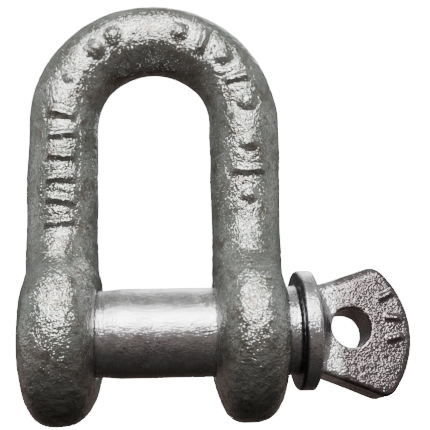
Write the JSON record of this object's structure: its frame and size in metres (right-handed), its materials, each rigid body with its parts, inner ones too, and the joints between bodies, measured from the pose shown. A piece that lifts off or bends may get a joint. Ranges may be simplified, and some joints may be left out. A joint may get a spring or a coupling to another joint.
{
  "type": "screw-pin shackle",
  "caption": "Galvanised D-shaped lifting and mooring shackle with parallel legs, round eyes and a threaded screw pin that has a collar and a flat eyed handle.",
  "frame": {"origin": "on the pin's axis, midway between the two ears", "axes": "+Z from the pin up to the crown, +X along the pin towards its handle, +Y to the back"},
  "size_m": [0.0686, 0.0324, 0.0774],
  "materials": {
    "galvanised_forging": "hot-dip galvanised forging, rough and pitted",
    "galvanised_pin": "hot-dip galvanised, smooth on the shank, grainy on the handle"
  },
  "bodies": {
    "shackle_body": {"shackle_body": "galvanised_forging"},
    "pin_collar": {"pin_collar": "galvanised_pin"},
    "screw_pin": {"screw_pin": "galvanised_pin"}
  },
  "joints": [
    {"name": "pin_travel", "type": "slide", "parent": "shackle_body", "child": "pin_collar", "axis": [1, 0, 0], "range_m": [-0.0019, 0.06004]},
    {"name": "pin_turn", "type": "hinge", "parent": "pin_collar", "child": "screw_pin", "pos_m": [0, 0, 0], "axis": [1, 0, 0], "range_deg": [-297, 9361]}
  ],
  "couplings": [
    {"joint": "pin_turn", "follows": "pin_travel", "rad_per_m": 2721.1}
  ]
}
